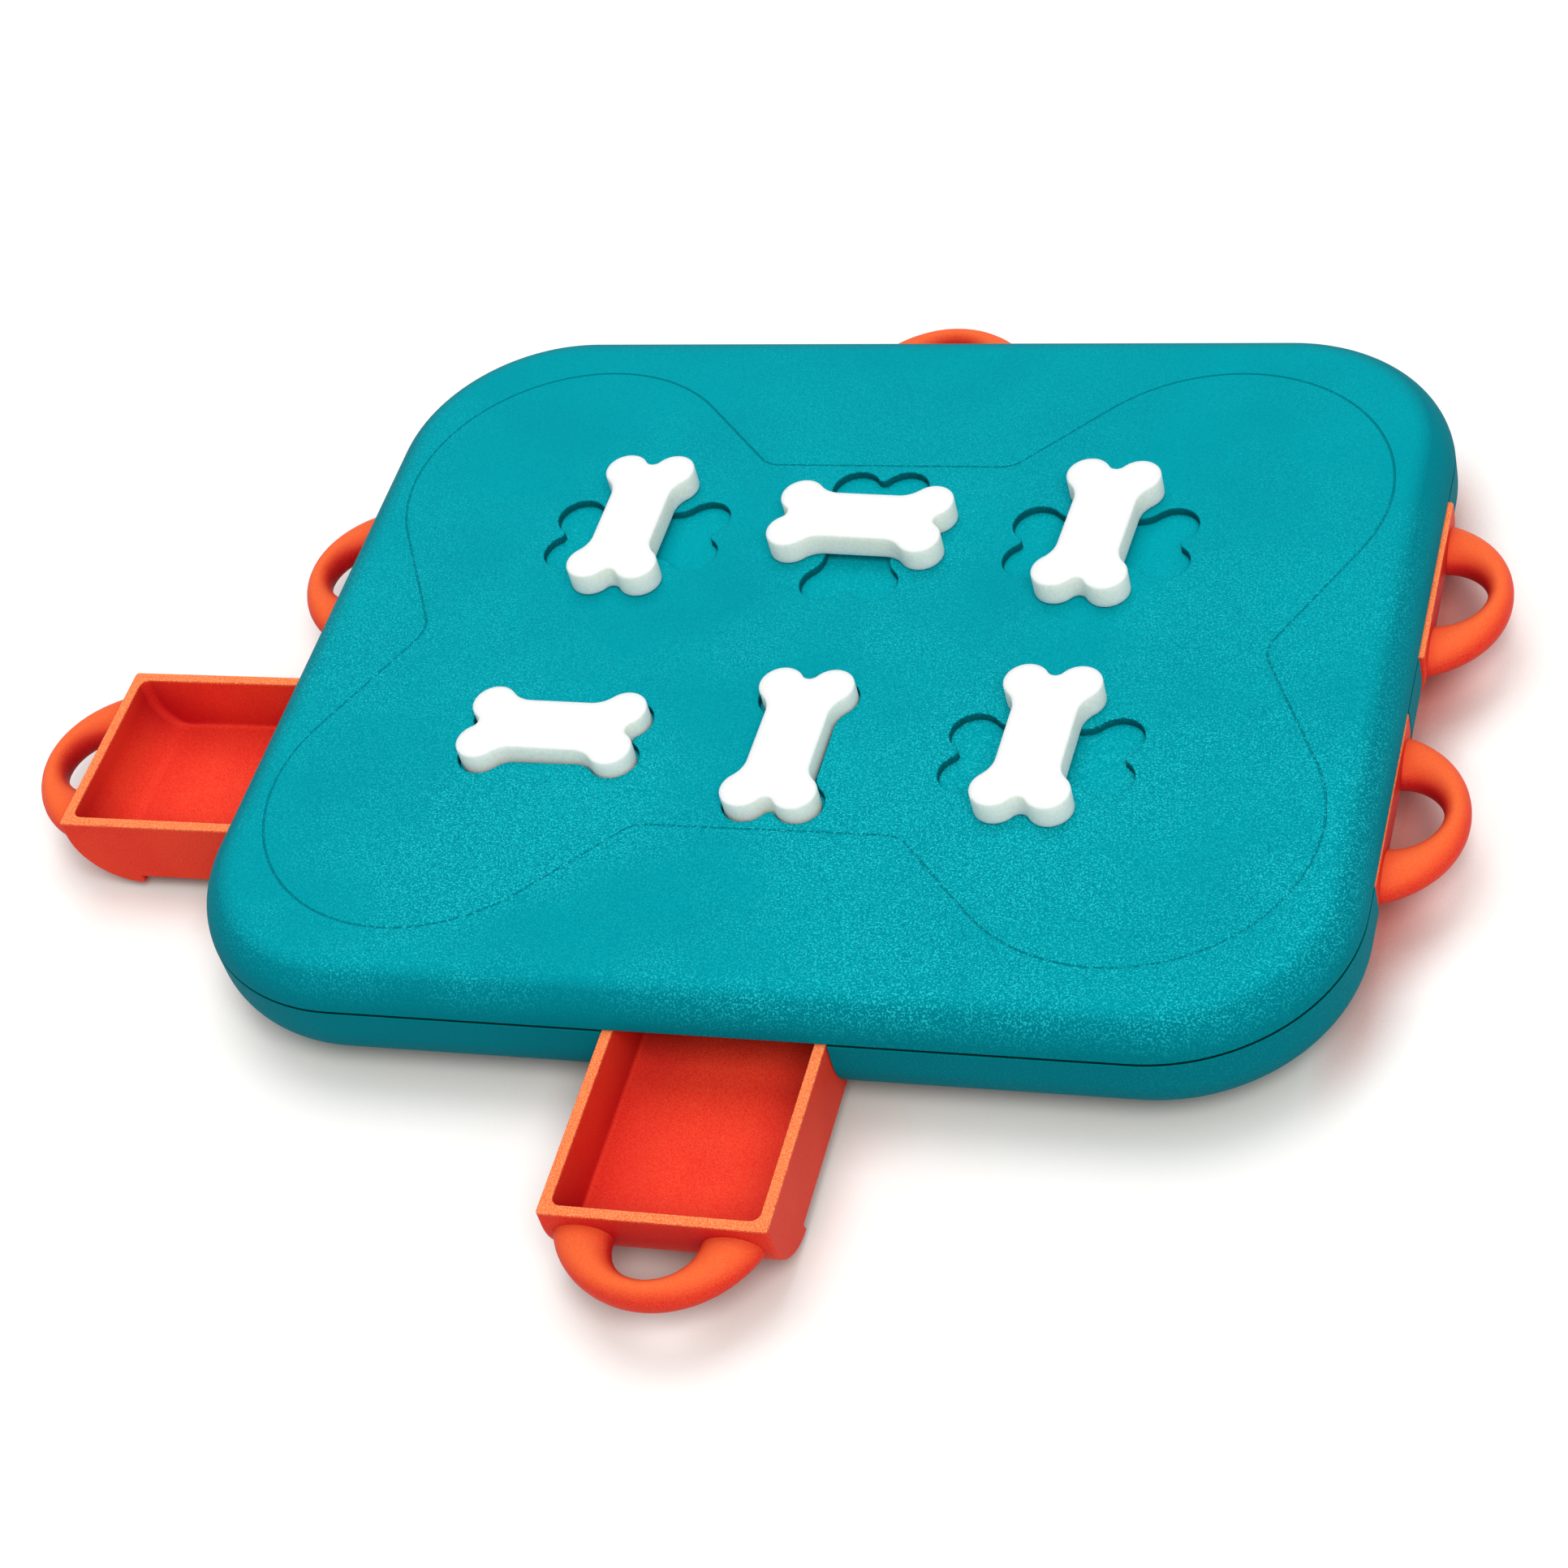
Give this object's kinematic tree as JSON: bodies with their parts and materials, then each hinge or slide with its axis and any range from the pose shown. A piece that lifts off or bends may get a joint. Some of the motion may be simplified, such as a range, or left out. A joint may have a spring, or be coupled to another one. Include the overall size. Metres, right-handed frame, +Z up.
{
  "type": "dog puzzle feeder",
  "caption": "Rounded plastic board with pull-out treat drawers, each held by a bone-shaped lock that lifts and turns on the top.",
  "frame": {"origin": "centre of the board, on the surface that its rubber feet stand on", "axes": "+X along the long side to the right, +Y to the back, +Z up"},
  "size_m": [0.4102, 0.358, 0.0451],
  "materials": {
    "shell_plastic": "turquoise moulded polypropylene with a fine spark texture",
    "drawer_plastic": "orange moulded polypropylene, satin",
    "bone_plastic": "white moulded polypropylene, semi-gloss",
    "cam_plastic": "natural acetal",
    "screw_steel": "zinc-plated steel",
    "foot_rubber": "black thermoplastic rubber"
  },
  "bodies": {
    "board": {"top_cover": "shell_plastic", "base_tray": "shell_plastic", "case_screws": "screw_steel", "foot_centre": "foot_rubber", "foot_front_left": "foot_rubber", "foot_front_right": "foot_rubber", "foot_back_left": "foot_rubber", "foot_back_right": "foot_rubber"},
    "drawer_front_body": {"drawer_front": "drawer_plastic"},
    "drawer_back_body": {"drawer_back": "drawer_plastic"},
    "drawer_left_front_body": {"drawer_left_front": "drawer_plastic"},
    "drawer_left_back_body": {"drawer_left_back": "drawer_plastic"},
    "drawer_right_front_body": {"drawer_right_front": "drawer_plastic"},
    "drawer_right_back_body": {"drawer_right_back": "drawer_plastic"},
    "lock_front_left": {"bone_front_left": "bone_plastic", "cam_front_left": "cam_plastic", "cam_screw_front_left": "screw_steel"},
    "lock_front_mid": {"bone_front_mid": "bone_plastic", "cam_front_mid": "cam_plastic", "cam_screw_front_mid": "screw_steel"},
    "lock_front_right": {"bone_front_right": "bone_plastic", "cam_front_right": "cam_plastic", "cam_screw_front_right": "screw_steel"},
    "lock_back_left": {"bone_back_left": "bone_plastic", "cam_back_left": "cam_plastic", "cam_screw_back_left": "screw_steel"},
    "lock_back_mid": {"bone_back_mid": "bone_plastic", "cam_back_mid": "cam_plastic", "cam_screw_back_mid": "screw_steel"},
    "lock_back_right": {"bone_back_right": "bone_plastic", "cam_back_right": "cam_plastic", "cam_screw_back_right": "screw_steel"}
  },
  "joints": [
    {"name": "front_drawer_slide", "type": "slide", "parent": "board", "child": "drawer_front_body", "axis": [0, -1, 0], "range_m": [-0.057, 0.013]},
    {"name": "back_drawer_slide", "type": "slide", "parent": "board", "child": "drawer_back_body", "axis": [0, 1, 0], "range_m": [0, 0.07]},
    {"name": "left_front_drawer_slide", "type": "slide", "parent": "board", "child": "drawer_left_front_body", "axis": [-1, 0, 0], "range_m": [-0.055, 0.015]},
    {"name": "left_back_drawer_slide", "type": "slide", "parent": "board", "child": "drawer_left_back_body", "axis": [-1, 0, 0], "range_m": [0, 0.07]},
    {"name": "right_front_drawer_slide", "type": "slide", "parent": "board", "child": "drawer_right_front_body", "axis": [1, 0, 0], "range_m": [0, 0.07]},
    {"name": "right_back_drawer_slide", "type": "slide", "parent": "board", "child": "drawer_right_back_body", "axis": [1, 0, 0], "range_m": [-0.0012, 0.0688]},
    {"name": "front_left_bone_lift", "type": "slide", "parent": "board", "child": "lock_front_left", "axis": [0, 0, 1], "range_m": [0, 0.0026]},
    {"name": "front_mid_bone_lift", "type": "slide", "parent": "board", "child": "lock_front_mid", "axis": [0, 0, 1], "range_m": [0, 0.0026]},
    {"name": "front_right_bone_turn", "type": "hinge", "parent": "board", "child": "lock_front_right", "pos_m": [0.068, -0.0401, 0.0374], "axis": [0, 0, 1], "range_deg": [-88.8, 1.2]},
    {"name": "back_left_bone_turn", "type": "hinge", "parent": "board", "child": "lock_back_left", "pos_m": [-0.068, 0.0401, 0.0374], "axis": [0, 0, 1], "range_deg": [-89.3, 0.7]},
    {"name": "back_mid_bone_turn", "type": "hinge", "parent": "board", "child": "lock_back_mid", "pos_m": [0, 0.0415, 0.0374], "axis": [0, 0, 1], "range_deg": [-87.3, 2.7]},
    {"name": "back_right_bone_turn", "type": "hinge", "parent": "board", "child": "lock_back_right", "pos_m": [0.068, 0.0401, 0.0374], "axis": [0, 0, 1], "range_deg": [-86.8, 3.2]}
  ]
}
